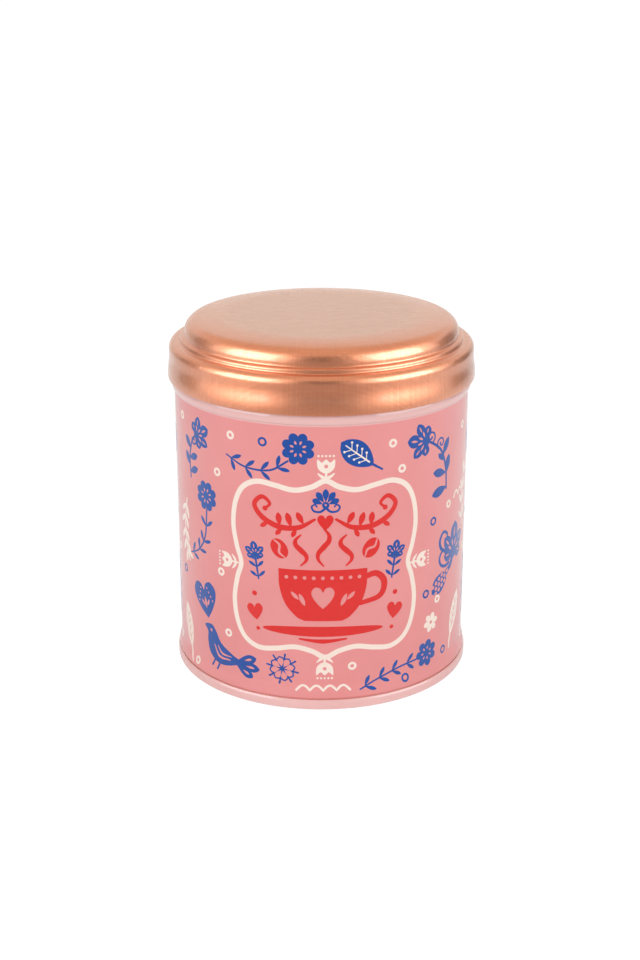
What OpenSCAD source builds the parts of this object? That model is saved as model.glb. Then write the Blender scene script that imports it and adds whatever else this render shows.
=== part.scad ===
// Round slip-lid canister of pressed and rolled sheet steel.
// Millimetres, +Z up, origin at the centre of the underside of the base rim.
// Every shell is one sheet: a path along its outer face, and the same path set in by the thickness.

/* [Overall] */
// Height from the base rim to the top of the lid
total_h = 127; // [120:1:150]
// Outer diameter of the lid's hem, the widest part
hem_d = 108; // [106:1:112]
// Thickness of the sheet steel
sheet_t = 0.4; // [0.3:0.05:0.45]

/* [Lid] */
// Height of the whole lid, from the hem to the flat top
lid_h = 21.2; // [20.6:0.1:22]
// Height of the ledge above the hem
ledge_h = 12.8; // [12:0.1:13]
// How far the skirt widens on its way down to the hem
hem_flare = 0.6; // [0.4:0.1:0.8]
// Height of the part of the hem that is folded double
hem_fold_h = 1.5; // [1.2:0.1:2]
// Outer radius of the domed centre where it stands on the ledge
dome_r = 48; // [46.6:0.1:48.2]
// Radius of the gentle crown between the flat top disc and the shoulder
crown_r = 70; // [50:5:90]
// Radius of the shoulder
shoulder_r = 4.8; // [3.8:0.1:4.9]
// Radius of the ledge's outer corner
ledge_corner_r = 2.6; // [2:0.1:2.6]
// Travel of the lid that takes it well clear of the neck, drawn lifted by this much
lid_lift = 0; // [0:5:80]

/* [Body] */
// Outer diameter of the straight printed wall
wall_d = 103.8; // [103.2:0.1:104]
// Outer diameter of the neck that the lid slips over
neck_d = 105; // [104.6:0.1:105.2]
// Outer diameter of the rounded shoulder under the lid
bead_d = 105.6; // [105.2:0.1:105.8]
// Height of the rounded shoulder under the lid
bead_h = 3.7; // [3.2:0.1:4.2]
// Outer radius of the mouth's inward curl
curl_r = 0.8; // [0.7:0.05:1]
// Gap left between the mouth's curl and the underside of the ledge
mouth_gap = 0.7; // [0.7:0.05:1]
// Width of the flat lap of the side seam
lap_w = 4; // [3:0.5:6]
// How far the lap stands out from the wall
lap_t = 0.25; // [0.15:0.05:0.3]

/* [Foot] */
// Outer diameter of the flared foot
foot_d = 105.6; // [105:0.1:106]
// Height where the flare starts
flare_top = 9.4; // [8:0.1:11]
// Height where the flare ends in the crease
crease_top = 4.3; // [4.2:0.1:5]
// Depth of the crease that the base's edge is clinched into
crease_depth = 0.4; // [0.3:0.05:0.45]

/* [Base] */
// Height of the underside of the recessed bottom panel
recess_h = 2.8; // [2.4:0.1:2.8]
// Radius of the two bottom edges of the base rim
rim_corner_r = 0.45; // [0.42:0.01:0.45]
// Depth of the stiffening beads pressed in the panel
panel_bead_depth = 0.7; // [0.3:0.1:1]
// Width of a stiffening bead
panel_bead_w = 4.5; // [4:0.5:6]

/* [Hidden] */
$fn = 96;

// Slack between two faces of a clinched joint
joint_slack = 0.05;
// Steps along a small arc, and along a smooth flare
arc_steps = 8;
flare_steps = 10;
// Slope of the crown where it meets the shoulder, in degrees
crown_slope = 9;

wall_r = wall_d / 2;
neck_r = neck_d / 2;
bead_r = bead_d / 2;
foot_r = foot_d / 2;
hem_r = hem_d / 2;
skirt_r = hem_r - hem_flare;
hem_z = total_h - lid_h;
ledge_z = hem_z + ledge_h;
mouth_z = ledge_z - sheet_t - mouth_gap;
bead_z = hem_z - bead_h;

// Points on an arc about c, from angle a0 to angle a1 in degrees
function arc(c, r, a0, a1, n = arc_steps) =
    [for (i = [0 : n]) let (a = a0 + (a1 - a0) * i / n) c + r * [cos(a), sin(a)]];
// Smooth run from point a to point b that starts and ends vertical
function flare(a, b, n = flare_steps) =
    [for (i = [0 : n]) let (t = i / n) [a.x + (b.x - a.x) * (3 - 2 * t) * t * t, a.y + (b.y - a.y) * t]];
// Path without points that fall on the one before
function distinct(p) = [for (i = [0 : len(p) - 1]) if (i == 0 || norm(p[i] - p[i - 1]) > 0.01) p[i]];
function reversed(p) = [for (i = [len(p) - 1 : -1 : 0]) p[i]];
// Unit vector to the right of the run from a to b
function right_of(a, b) = [b.y - a.y, a.x - b.x] / norm(b - a);
// Step to the right at point i that keeps a sheet's thickness even round a corner
function corner_step(p, i) =
    let (
        last = len(p) - 1,
        before = right_of(p[max(i - 1, 0)], p[max(i, 1)]),
        after = right_of(p[min(i, last - 1)], p[min(i + 1, last)]),
        middle = (before + after) / norm(before + after)
    ) middle / (middle * before);
// The same path, set to the right by t
function set_in(p, t) = [for (i = [0 : len(p) - 1]) p[i] + t * corner_step(p, i)];
// Outline of a sheet of thickness t to the right of a path
function sheet(p, t = sheet_t) = concat(p, reversed(set_in(p, t)));

// Lid: centre of the top, crown, shoulder, dome wall, base bead, ledge, corner, skirt
crown_drop = crown_r * (1 - cos(crown_slope));
shoulder_c = [dome_r - shoulder_r, total_h - crown_drop - shoulder_r * cos(crown_slope)];
flat_r = shoulder_c.x - (crown_r - shoulder_r) * sin(crown_slope);
bead_fillet = 0.6;
bead_round = 0.8;
step_z = ledge_z + 2 * bead_fillet + bead_round + 0.3;
lid_path = distinct(concat(
    [[0, total_h]],
    arc([flat_r, total_h - crown_r], crown_r, 90, 90 - crown_slope),
    arc(shoulder_c, shoulder_r, 90 - crown_slope, 0, 14),
    arc([dome_r + bead_fillet, step_z], bead_fillet, 180, 270, 5),
    arc([dome_r + bead_round, step_z - bead_fillet - bead_round], bead_round, 90, 0),
    arc([dome_r + 2 * bead_round + bead_fillet, ledge_z + bead_fillet], bead_fillet, 180, 270, 5),
    arc([skirt_r - ledge_corner_r, ledge_z - ledge_corner_r], ledge_corner_r, 90, 0),
    flare([skirt_r, hem_z + 5.4 * hem_fold_h], [hem_r, hem_z + hem_fold_h])
));
// The hem folds inwards and lies flat against the skirt
hem_fold = concat(
    arc([hem_r - sheet_t, hem_z + sheet_t], sheet_t, 0, -180),
    [[hem_r - 2 * sheet_t, hem_z + hem_fold_h]]
);

// Body: mouth curl, neck, rounded shoulder, straight wall, flare, crease, lower edge
mouth_curl_c = [neck_r - curl_r, mouth_z - curl_r];
bead_side_r = 4;
bead_under_r = 1;
bead_side_c = [bead_r - bead_side_r, bead_z + bead_h / 2 + 0.2];
bead_top_a = acos((neck_r - bead_side_c.x) / bead_side_r);
bead_turn_a = -20;
bead_under_c = bead_side_c + (bead_side_r - bead_under_r) * [cos(bead_turn_a), sin(bead_turn_a)];
edge_z = sheet_t + 0.55;
crease_path = flare([foot_r, crease_top], [foot_r - crease_depth, crease_top - 0.8], 6);
clinch_path = flare([foot_r - crease_depth, crease_top - 0.9], [foot_r, crease_top - 1.8], 6);
body_path = distinct(concat(
    arc(mouth_curl_c, curl_r, 215, 0, 16),
    arc(bead_side_c, bead_side_r, bead_top_a, bead_turn_a),
    arc(bead_under_c, bead_under_r, bead_turn_a, -72, 5),
    [[wall_r, bead_z - 0.4]],
    flare([wall_r, flare_top], [foot_r, crease_top]),
    crease_path,
    clinch_path,
    [[foot_r, edge_z]]
));

// Base: clinched edge, outer wall, rim, inner wall, recessed panel with stiffening beads
wrap_t = joint_slack + sheet_t;
rim_r = foot_r + wrap_t;
inner_wall_r = foot_r - 2 * sheet_t - joint_slack;
panel_corner_r = 0.8;
panel_beads = [0.84 * wall_r, 0.64 * wall_r];
// A stiffening bead round radius r, run from its outer side to its inner side
function panel_bead(r, n = 12) =
    [for (i = [0 : n]) let (t = i / n)
        [r + panel_bead_w * (0.5 - t), recess_h - panel_bead_depth * (1 - cos(360 * t)) / 2]];
base_path = distinct(concat(
    set_in(clinch_path, -wrap_t),
    arc([rim_r - rim_corner_r, rim_corner_r], rim_corner_r, 0, -90),
    arc([inner_wall_r + rim_corner_r, rim_corner_r], rim_corner_r, -90, -180),
    arc([inner_wall_r - panel_corner_r, recess_h - panel_corner_r], panel_corner_r, 0, 90),
    panel_bead(panel_beads[0]),
    panel_bead(panel_beads[1]),
    [[0, recess_h]]
));

module side_seam_lap() {
    intersection() {
        difference() {
            cylinder(r = wall_r + lap_t, h = bead_z - 0.6);
            translate([0, 0, -1]) cylinder(r = wall_r - sheet_t / 2, h = total_h);
        }
        translate([-lap_w / 2, 0, flare_top + 0.2]) cube([lap_w, hem_r, bead_z - flare_top - 1]);
    }
}

module body_wall() {
    color([0.91, 0.58, 0.57]) union() {
        rotate_extrude() polygon(sheet(body_path));
        side_seam_lap();
    }
}

module base_end() {
    color([0.93, 0.68, 0.66]) rotate_extrude() polygon(sheet(base_path));
}

module seam_compound() {
    ring_r = foot_r - sheet_t + joint_slack / 2;
    color([0.78, 0.80, 0.76]) rotate_extrude() translate([ring_r, sheet_t + joint_slack])
        square([sheet_t - joint_slack, edge_z - sheet_t - 2 * joint_slack]);
}

module lid_shell() {
    color([0.82, 0.53, 0.38]) translate([0, 0, lid_lift])
        rotate_extrude() polygon(concat(lid_path, hem_fold, reversed(set_in(lid_path, sheet_t))));
}

body_wall();
base_end();
seam_compound();
lid_shell();
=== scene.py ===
# %% [markdown]
# # A printed coffee tin with a copper-finished slip lid
# A kitchen canister is made of thin steel sheet. The wall is printed flat and rolled into a tube,
# the base is clinched on below, and the lid is pressed from one disc. Everything here is placed
# from those shapes, so the looks and the mechanics stay together.

import math

import bpy
import numpy as np
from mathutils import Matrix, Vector
from mathutils.geometry import delaunay_2d_cdt


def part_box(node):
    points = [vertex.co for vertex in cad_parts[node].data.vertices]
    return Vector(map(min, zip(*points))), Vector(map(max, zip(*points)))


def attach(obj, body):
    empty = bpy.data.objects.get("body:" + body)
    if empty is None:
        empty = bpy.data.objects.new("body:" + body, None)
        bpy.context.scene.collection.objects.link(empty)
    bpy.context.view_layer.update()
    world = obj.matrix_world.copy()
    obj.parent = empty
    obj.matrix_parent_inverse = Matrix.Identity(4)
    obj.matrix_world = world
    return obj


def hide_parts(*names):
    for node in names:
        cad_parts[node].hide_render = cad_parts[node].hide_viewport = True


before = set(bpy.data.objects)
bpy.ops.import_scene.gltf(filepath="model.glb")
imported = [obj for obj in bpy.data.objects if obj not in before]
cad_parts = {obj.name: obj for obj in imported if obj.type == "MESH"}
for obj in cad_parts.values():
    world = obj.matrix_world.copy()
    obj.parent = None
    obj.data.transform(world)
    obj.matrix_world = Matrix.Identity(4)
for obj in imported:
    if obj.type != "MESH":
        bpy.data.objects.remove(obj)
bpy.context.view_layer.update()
print("CAD nodes:", sorted(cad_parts))

# %% [markdown]
# ## Sizes
# Sheet metal is easiest to think of in millimetres, so the outlines below are in millimetres
# and are scaled once, when a mesh is made. The sizes that the engineered nodes already hold
# are read from their boxes. The rest are the small radii that a box can't tell.

# %% Sizes of the sheets, in millimetres
MM = 0.001
lid_low, lid_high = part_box("lid_shell")
wall_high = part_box("body_wall")[1]
base_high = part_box("base_end")[1]
total_h = lid_high.z / MM
hem_r = lid_high.x / MM
hem_z = lid_low.z / MM
foot_r = wall_high.x / MM
rim_r = base_high.x / MM
mouth_z = wall_high.z / MM
sheet_t = 0.4
ledge_h = 12.8
ledge_z = hem_z + ledge_h
hem_flare = 0.6
skirt_r = hem_r - hem_flare
wall_r = 51.9
neck_r = 52.5
bead_r = 52.8
bead_h = 3.7
bead_z = hem_z - bead_h
flare_top = 9.4
crease_top = 4.3
crease_depth = 0.4
recess_h = 2.8
edge_z = 0.95
around = 256
print(f"height {total_h:.1f}, hem radius {hem_r:.1f}, wall radius {wall_r}, rim radius {rim_r:.2f}")

# %% [markdown]
# ## Outlines of folded sheet
# A pressed or rolled sheet has the same thickness everywhere. So each outline starts as one path
# along the outer face, and the inner face is that path moved inwards by the thickness.
# Small arcs stand for the bends, because a real sheet never has a knife-sharp corner.


# %% Paths: arcs, smooth flares and the inner face of a sheet
def arc(centre, radius, start, end, steps=8):
    angles = np.radians(np.linspace(start, end, steps + 1))
    return [(centre[0] + radius * math.cos(a), centre[1] + radius * math.sin(a)) for a in angles]


def flare(a, b, steps=10):
    run = np.linspace(0, 1, steps + 1)
    return [(a[0] + (b[0] - a[0]) * (3 - 2 * t) * t * t, a[1] + (b[1] - a[1]) * t) for t in run]


def distinct(path):
    kept = [path[0]]
    for p in path[1:]:
        if math.dist(p, kept[-1]) > 0.01:
            kept.append(p)
    return kept


def set_in(path, t):
    p = np.array(path, float)
    run = np.diff(p, axis=0)
    right = np.stack([run[:, 1], -run[:, 0]], 1) / np.linalg.norm(run, axis=1)[:, None]
    before = np.vstack([right[:1], right])
    after = np.vstack([right, right[-1:]])
    middle = before + after
    middle /= np.linalg.norm(middle, axis=1)[:, None]
    reach = np.sum(middle * before, 1)[:, None]
    return [tuple(q) for q in p + t * middle / reach]


print("a quarter bend has", len(arc((0, 0), 1, 90, 0)), "points")

# %% [markdown]
# ## Turning an outline into a round shell
# A lathe copies one outline round the axis. 256 steps keep the rim of the tin smooth even
# in a close view. Three values are stored on every vertex for the finishes to read later:
# `outside` is 1 on the show face of the sheet and 0 inside, `along` is the distance run along
# the sheet, and `flat` is where the vertex lay in the flat sheet before it was formed.


# %% The lathe
def store(mesh, name, kind, values):
    layer = mesh.attributes.new(name, kind, "POINT")
    key = "vector" if kind == "FLOAT_VECTOR" else "value"
    layer.data.foreach_set(key, np.asarray(values, np.float32).ravel())


def show(name, verts, faces, sharp=35):
    mesh = bpy.data.meshes.new(name)
    mesh.from_pydata([tuple(v) for v in verts], [], faces)
    mesh.validate()
    mesh.polygons.foreach_set("use_smooth", [True] * len(mesh.polygons))
    if sharp:
        mesh.set_sharp_from_angle(angle=math.radians(sharp))
    piece = bpy.data.objects.new(name, mesh)
    bpy.context.scene.collection.objects.link(piece)
    return piece


def signed_volume(verts, faces):
    v = np.asarray(verts)
    total = 0.0
    for f in faces:
        for i in range(1, len(f) - 1):
            total += np.dot(v[f[0]], np.cross(v[f[i]], v[f[i + 1]])) / 6
    return total


def lathe(name, outer, inner, unrolled=False):
    outline = list(outer) + list(inner)
    outside = [1.0] * len(outer) + [0.0] * len(inner)
    along = np.concatenate([[0], np.cumsum(np.linalg.norm(np.diff(outer, axis=0), axis=1))])
    inward = np.linalg.norm(np.diff(list(reversed(inner)), axis=0), axis=1)
    along = list(along) + list(np.concatenate([[0], np.cumsum(inward)])[::-1])
    verts, rows, show_face, run, flat = [], [], [], [], []
    for (r, z), side, s in zip(outline, outside, along):
        count = around if r > 1e-6 else 1
        rows.append((len(verts), count))
        for k in range(count):
            turn = 2 * math.pi * k / around
            verts.append((r * math.sin(turn) * MM, -r * math.cos(turn) * MM, z * MM))
            show_face.append(side)
            run.append(s)
            arc_run = (turn if k <= around / 2 else turn - 2 * math.pi) * wall_r
            unroll = (arc_run, z, 0)
            disc = (s * math.sin(turn), -s * math.cos(turn), 0)
            flat.append(unroll if unrolled else disc)
    faces = []
    for i, (a, n) in enumerate(rows):
        b, m = rows[(i + 1) % len(rows)]
        for k in range(around):
            j = (k + 1) % around
            if n == 1 and m == 1:
                continue
            if n == 1:
                faces.append((a, b + k, b + j))
            elif m == 1:
                faces.append((a + k, b, a + j))
            else:
                faces.append((a + k, b + k, b + j, a + j))
    if signed_volume(verts, faces) < 0:
        faces = [f[::-1] for f in faces]
    piece = show(name, verts, faces)
    store(piece.data, "outside", "FLOAT", show_face)
    store(piece.data, "along", "FLOAT", run)
    store(piece.data, "flat", "FLOAT_VECTOR", flat)
    print(f"{name}: {len(verts)} vertices, {len(faces)} faces")
    return piece


print("one step of the lathe is", round(2 * math.pi * hem_r / around, 2), "mm long at the hem")

# %% [markdown]
# ## The lid
# The lid is one disc of steel drawn over a punch: a flat top with a gentle crown, a tight
# shoulder, a small step, a flat ledge and a skirt that widens a little towards its hem. Its
# edge is folded inwards, so that no cut edge is left to scratch a hand. One outline and one
# lathe make all of it.

# %% The lid's outline and shell
crown_r = 70
shoulder_r = 4.8
dome_r = 48.0
crown_slope = 9
slope = math.radians(crown_slope)
crown_drop = crown_r * (1 - math.cos(slope))
shoulder_c = (dome_r - shoulder_r, total_h - crown_drop - shoulder_r * math.cos(slope))
flat_r = shoulder_c[0] - (crown_r - shoulder_r) * math.sin(slope)
step_fillet = 0.6
step_round = 0.8
step_z = ledge_z + 2 * step_fillet + step_round + 0.3
ledge_corner_r = 2.6
fold_h = 1.5
flare_z = hem_z + 5.4 * fold_h
lid_path = distinct(
    [(0, total_h), (flat_r / 3, total_h), (flat_r * 2 / 3, total_h), (flat_r - 0.5, total_h)]
    + arc((flat_r, total_h - crown_r), crown_r, 90, 90 - crown_slope)
    + arc(shoulder_c, shoulder_r, 90 - crown_slope, 0, 14)
    + arc((dome_r + step_fillet, step_z), step_fillet, 180, 270, 5)
    + arc((dome_r + step_round, step_z - step_fillet - step_round), step_round, 90, 0)
    + arc((dome_r + 2 * step_round + step_fillet, ledge_z + step_fillet), step_fillet, 180, 270, 5)
    + arc((skirt_r - ledge_corner_r, ledge_z - ledge_corner_r), ledge_corner_r, 90, 0, 10)
    + [(skirt_r, hem_z + 9.6), (skirt_r, flare_z + 0.6)]
    + flare((skirt_r, flare_z), (hem_r, hem_z + fold_h))
)
hem_fold = arc((hem_r - sheet_t, hem_z + sheet_t), sheet_t, 0, -180, 10)
hem_fold += [(hem_r - 2 * sheet_t, hem_z + fold_h)]
lid_sheet = lathe("lid_sheet", lid_path + hem_fold, set_in(lid_path, sheet_t)[::-1])
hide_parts("lid_shell")
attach(lid_sheet, "lid")

# %% [markdown]
# ## The printed wall
# The wall is a rolled tube. Its top is curled inwards, a rounded shoulder below the lid stops
# the lid's hem, and the foot flares out to the base. Extra points just inside both ends of
# the straight part keep the shading of the bends from leaking along the whole wall.

# %% The wall's outline and shell
curl_r = 0.8
curl_c = (neck_r - curl_r, mouth_z - curl_r)
bead_side_r = 4
bead_c = (bead_r - bead_side_r, bead_z + bead_h / 2 + 0.2)
bead_top = math.degrees(math.acos((neck_r - bead_c[0]) / bead_side_r))
bead_turn = math.radians(-20)
under_r = 1
under_reach = bead_side_r - under_r
under_c = (bead_c[0] + under_reach * math.cos(bead_turn), bead_c[1] + under_reach * math.sin(bead_turn))
crease_in = foot_r - crease_depth
clinch_drop = 0.9
clinch = flare((crease_in, crease_top - clinch_drop), (foot_r, crease_top - 2 * clinch_drop), 6)
wall_top = bead_z - 0.4
wall_path = distinct(
    arc(curl_c, curl_r, 215, 0, 16)
    + [(neck_r, mouth_z - 3), (neck_r, bead_z + bead_h + 2)]
    + arc(bead_c, bead_side_r, bead_top, -20)
    + arc(under_c, under_r, -20, -72, 5)
    + [(wall_r, wall_top), (wall_r, wall_top - 0.5), (wall_r, flare_top + 0.5)]
    + flare((wall_r, flare_top), (foot_r, crease_top))
    + flare((foot_r, crease_top), (crease_in, crease_top - 0.8), 6)
    + clinch
    + [(foot_r, edge_z)]
)
wall_sheet = lathe("wall_sheet", wall_path, set_in(wall_path, sheet_t)[::-1], unrolled=True)

# %% [markdown]
# ## The side seam
# A rolled tube has to be joined to itself. Such tins lap the two edges at the back and press
# them flat, which leaves a shallow band. It is a thin closed strip bent to the wall's radius,
# with soft edges, joined to the wall's mesh.

# %% The lap of the side seam, at the back
lap_w = 4
lap_t = 0.25
lap_side = [(0.5, 0), (0.46, 0.6), (0.4, 1), (0.2, 1)]
lap_profile = [(-share, rise) for share, rise in lap_side] + [(0, 1)] + lap_side[::-1]
lap_levels = [(flare_top + 0.2, 0), (flare_top + 0.5, 1), (bead_z - 1.1, 1), (bead_z - 0.8, 0)]
lap_verts, lap_faces, lap_flat = [], [], []
for z, tall in lap_levels:
    for share, rise in lap_profile + [(s, None) for s, _ in lap_profile[::-1]]:
        turn = math.pi - share * lap_w / wall_r
        r = wall_r - sheet_t / 2 if rise is None else wall_r + lap_t * rise * tall - 0.01 * (1 - tall)
        lap_verts.append((r * math.sin(turn) * MM, -r * math.cos(turn) * MM, z * MM))
        lap_flat.append((-share * lap_w, z, 0))
ring_n = 2 * len(lap_profile)
for level in range(len(lap_levels) - 1):
    for k in range(ring_n):
        a, b = level * ring_n + k, level * ring_n + (k + 1) % ring_n
        lap_faces.append((a, b, b + ring_n, a + ring_n))
lap_faces.append(tuple(range(ring_n))[::-1])
lap_faces.append(tuple(range(len(lap_verts) - ring_n, len(lap_verts))))
if signed_volume(lap_verts, lap_faces) < 0:
    lap_faces = [f[::-1] for f in lap_faces]
lap = show("lap", lap_verts, lap_faces)
store(lap.data, "outside", "FLOAT", [1.0] * len(lap_verts))
store(lap.data, "along", "FLOAT", [0.0] * len(lap_verts))
store(lap.data, "flat", "FLOAT_VECTOR", lap_flat)
both = [wall_sheet, lap]
with bpy.context.temp_override(
    active_object=wall_sheet, selected_objects=both, selected_editable_objects=both
):
    bpy.ops.object.join()
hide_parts("body_wall")
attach(wall_sheet, "tin")
print("wall with its seam:", len(wall_sheet.data.vertices), "vertices")

# %% [markdown]
# ## The base
# The base is a second pressing. Its edge is clinched round the foot of the wall, its rim is
# what the tin stands on, and its panel sits higher up, stiffened by two ring beads.

# %% The base's outline and shell
rim_corner_r = 0.45
joint_slack = 0.05
inner_wall_r = foot_r - 2 * sheet_t - joint_slack
panel_corner_r = 0.8
panel_bead_w = 4.5
panel_bead_depth = 0.7
outer_bead_r = 0.84 * wall_r
inner_bead_r = 0.64 * wall_r


def panel_bead(radius, steps=12):
    profile = []
    for t in np.linspace(0, 1, steps + 1):
        sag = panel_bead_depth / 2 * (1 - math.cos(2 * math.pi * t))
        profile.append((radius + panel_bead_w * (0.5 - t), recess_h - sag))
    return profile


base_path = distinct(
    set_in(clinch, -joint_slack - sheet_t)
    + arc((rim_r - rim_corner_r, rim_corner_r), rim_corner_r, 0, -90)
    + arc((inner_wall_r + rim_corner_r, rim_corner_r), rim_corner_r, -90, -180)
    + arc((inner_wall_r - panel_corner_r, recess_h - panel_corner_r), panel_corner_r, 0, 90)
    + panel_bead(outer_bead_r)
    + panel_bead(inner_bead_r)
    + [(wall_r * 0.3, recess_h), (0, recess_h)]
)
base_sheet = lathe("base_sheet", base_path, set_in(base_path, sheet_t)[::-1])
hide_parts("base_end")
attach(base_sheet, "tin")

# %% [markdown]
# ## Drawing on the unrolled wall
# The decoration is drawn flat, as a printer does, in millimetres: x runs round the wall from
# the front, y is the height. A motif is a set of closed outlines: `add` is inked, `cut` is
# left out of the ink again, and `fill` is inked in cream. Every motif here is plain folk
# ornament made from circles, petals and swelling strokes.


# %% Outlines: ovals, smooth curves, strokes and petals
def oval(x, y, rx, ry=None, steps=28):
    a = np.linspace(0, 2 * np.pi, steps, endpoint=False)
    return np.stack([x + rx * np.cos(a), y + (ry or rx) * np.sin(a)], 1)


def curve(points, closed=False, steps=8):
    p = np.array(points, float)
    if closed:
        p = np.vstack([p[-1:], p, p[:2]])
    else:
        p = np.vstack([2 * p[0] - p[1], p, 2 * p[-1] - p[-2]])
    line = []
    for a, b, c, d in zip(p, p[1:], p[2:], p[3:]):
        for t in np.arange(steps) / steps:
            bend = (2 * a - 5 * b + 4 * c - d) * t * t + (3 * b - 3 * c + d - a) * t**3
            line.append(0.5 * (2 * b + (c - a) * t + bend))
    if not closed:
        line.append(p[-2])
    return np.array(line)


def sideways(line, closed=False):
    if closed:
        run = np.roll(line, -1, 0) - np.roll(line, 1, 0)
    else:
        run = np.gradient(line, axis=0)
    run /= np.linalg.norm(run, axis=1)[:, None]
    return np.stack([-run[:, 1], run[:, 0]], 1)


def turned_arrow(run, degrees):
    a = math.atan2(run[1], run[0]) + math.radians(degrees)
    return np.array([math.cos(a), math.sin(a)])


def stroke(points, width, smooth=True):
    line = curve(points) if smooth else np.array(points, float)
    given = np.atleast_1d(np.array(width, float))
    half = np.interp(np.linspace(0, 1, len(line)), np.linspace(0, 1, len(given)), given) / 2
    side = sideways(line) * half[:, None]
    round_cap = (60, 30, 0, -30, -60)
    cap_end = [line[-1] + half[-1] * turned_arrow(line[-1] - line[-2], a) for a in round_cap]
    cap_start = [line[0] + half[0] * turned_arrow(line[0] - line[1], a) for a in round_cap]
    return np.vstack([line + side, cap_end, (line - side)[::-1], cap_start])


def petal(length, width, blunt=0.5, steps=12):
    t = np.linspace(0, 1, steps + 1)
    half = width / 2 * np.sin(np.pi * t ** (0.6 + 0.8 * blunt)) ** (0.75)
    up = np.stack([length * t, half], 1)
    down = np.stack([length * t, -half], 1)[::-1]
    return np.vstack([up, down[1:-1]])


def moved(shape, at=(0, 0), turn=0, size=1.0, flip=False):
    a = math.radians(turn)
    spin = np.array([[math.cos(a), math.sin(a)], [-math.sin(a), math.cos(a)]])
    s = np.asarray(shape, float) * size * (np.array([-1, 1]) if flip else 1)
    return s @ spin + np.array(at)


print("a petal has", len(petal(4, 2)), "points")

# %% [markdown]
# ## A small library of folk motifs
# Each function returns one motif round its own origin. They are short because they reuse
# each other: a branch is a stroke with pairs of petals, and a daisy is a ring of ovals.


# %% Motifs: rings, daisies, leaves and branches
def motif(add=(), cut=()):
    return {"add": list(add), "cut": list(cut), "fill": []}


def with_part(whole, part, at=(0, 0), turn=0, size=1.0, flip=False):
    for key in whole:
        whole[key] += [moved(s, at, turn, size, flip) for s in part[key]]
    return whole


def ring(radius=1.5, line=0.8):
    return motif([oval(0, 0, radius)], [oval(0, 0, radius - line)])


def daisy(radius=5.4, petals=8):
    m = motif([oval(0, 0, 0.66 * radius)])
    for k in range(petals):
        turn = 360 * (k + 0.5) / petals
        slit = turned_arrow((1, 0), turn) * 0.27 * radius
        m["add"].append(moved(oval(0.68 * radius, 0, 0.34 * radius, 0.3 * radius), turn=turn))
        m["cut"].append(moved(petal(0.28 * radius, 0.15 * radius), slit, turn))
    return m


def line_daisy(radius=5.2, petals=8, line=0.5):
    m = motif()
    long, wide = 0.92 * radius, 0.62 * radius
    stamen = stroke([(0.62 * radius, 0), (1.08 * radius, 0)], [line, 1.3 * line], False)
    for k in range(petals):
        turn = 360 * k / petals
        start = moved([(1.4 * line, 0)], turn=turn)[0]
        m["add"].append(moved(petal(long, wide, 1.2), turn=turn))
        m["cut"].append(moved(petal(long - 2.4 * line, wide - 2 * line, 1.2), start, turn))
        m["add"].append(moved(stamen, turn=turn + 180 / petals))
    return m


def veined_leaf(length=14.0, width=8.6):
    stalk = stroke([(length - 0.6, 0), (length + 3.6, 0.5)], [0.9, 0.6], False)
    m = motif([petal(length, width, 0.35), stalk])
    m["fill"].append(stroke([(0.14 * length, 0), (0.86 * length, 0)], [0.35, 0.6], False))
    for k in range(4):
        x = (0.32 + 0.15 * k) * length
        reach = width * (0.2 + 0.06 * math.sin(math.pi * (k + 1) / 5))
        for side in (-1, 1):
            tip = (x - 1.5, side * reach)
            m["fill"].append(stroke([(x, 0), tip], 0.26, False))
            m["fill"].append(oval(*tip, 0.4, steps=14))
    m["cut"] += m["fill"]
    return m


def branch(path, leaves=4, leaf=4.4, lean=42, line=0.65, head=None):
    line_points = curve(path)
    m = motif([stroke(path, [0.8 * line, line, line])])
    for k in range(leaves):
        i = int((0.12 + 0.68 * k / max(leaves - 1, 1)) * (len(line_points) - 1))
        here = line_points[i]
        run = line_points[i + 1] - here
        heading = math.degrees(math.atan2(run[1], run[0]))
        for side in (-1, 1):
            m["add"].append(moved(petal(leaf, 0.3 * leaf, 0.9), here, heading + side * lean))
    if head:
        last = line_points[-1] - line_points[-2]
        with_part(m, head, line_points[-1], math.degrees(math.atan2(last[1], last[0])))
    return m


print("a branch has", len(branch([(0, 0), (5, 1), (10, 0)])["add"]), "outlines")


# %% Motifs: curls, leaves, blossoms, hearts, a bird, a butterfly and a tulip
def curl(radius=2.2, turns=1.1, line=0.6):
    a = np.linspace(0, 2 * math.pi * turns, 9)
    r = radius * (1 - 0.78 * a / a[-1])
    points = np.stack([radius - r * np.cos(a), r * np.sin(a)], 1)
    return motif([stroke(points, [line, line, 0.9 * line]), oval(*points[-1], 0.75 * line, steps=12)])


def scaled_leaf(length=14.0, width=7.0):
    m = motif([petal(length, width, 1.3)])
    for k in range(5):
        for row in range(-1, 2):
            spot = ((0.2 + 0.15 * k + 0.075 * (row % 2)) * length, 0.24 * row * width)
            m["cut"].append(oval(*spot, 0.06 * length, 0.11 * width, 14))
    return m


def cream_leaf(length=17.0, width=6.6):
    stalk = stroke([(-4.4, -1.2), (-2, -0.3), (1.5, 0)], [0.6, 0.9, 1.0])
    m = motif([petal(length, width, 0.6), stalk])
    m["cut"].append(stroke([(0.16 * length, 0), (0.84 * length, 0)], [0.5, 0.35], False))
    for k in range(4):
        x = (0.26 + 0.15 * k) * length
        for side in (-1, 1):
            m["cut"].append(stroke([(x, 0.3 * side), (x + 1.6, 0.3 * width * side)], 0.4, False))
    return m


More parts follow.
